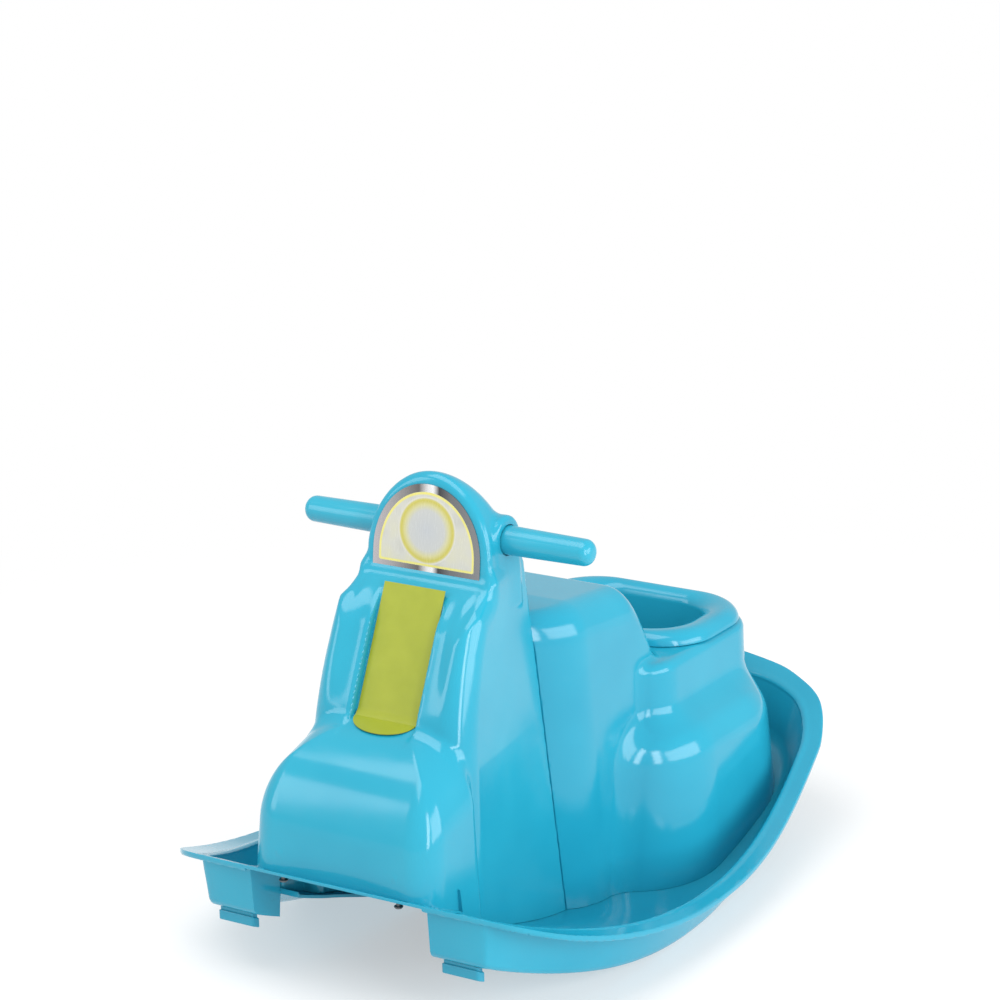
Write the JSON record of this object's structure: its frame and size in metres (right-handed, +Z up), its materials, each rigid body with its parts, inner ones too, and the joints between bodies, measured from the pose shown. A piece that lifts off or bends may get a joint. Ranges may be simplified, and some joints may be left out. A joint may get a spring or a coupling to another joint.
{
  "type": "rocking scooter",
  "caption": "Toddler's rocking toy shaped like a motor scooter: boat-like tub on curved soles, leaning front column with stub handles, saddle, and a backrest with an open storage bin.",
  "frame": {"origin": "on the floor, below the middle of the outline, with the toy at rest on the flat of its soles", "axes": "+Z up, -Y towards the headlight, +X towards the rider's left"},
  "size_m": [0.4482, 0.656, 0.4375],
  "materials": {
    "tub_plastic": "glossy aqua polypropylene",
    "cowl_plastic": "glossy aqua polypropylene",
    "seat_plastic": "glossy aqua polypropylene",
    "bin_plastic": "glossy aqua polypropylene",
    "handle_plastic": "glossy aqua polypropylene",
    "tube_steel": "zinc-plated",
    "pin_steel": "zinc-plated",
    "headlight_print": "printed film in silver, pale yellow and white",
    "lime_print": "plain lime film",
    "pad_plastic": "satin",
    "screw_steel": "zinc-plated"
  },
  "bodies": {
    "root": {"rocker_base": "tub_plastic", "front_cowl": "cowl_plastic", "seat_shell": "seat_plastic", "storage_bin": "bin_plastic", "handle_left": "handle_plastic", "handle_right": "handle_plastic", "handle_tube": "tube_steel", "handle_pin_left": "pin_steel", "handle_pin_right": "pin_steel", "headlight_label": "headlight_print", "apron_label": "lime_print", "stop_pad_left": "pad_plastic", "stop_pad_right": "pad_plastic", "cowl_screw_1": "screw_steel", "cowl_screw_2": "screw_steel", "cowl_screw_3": "screw_steel", "cowl_screw_4": "screw_steel", "seat_screw_1": "screw_steel", "seat_screw_2": "screw_steel", "seat_screw_3": "screw_steel", "seat_screw_4": "screw_steel"}
  },
  "joints": []
}
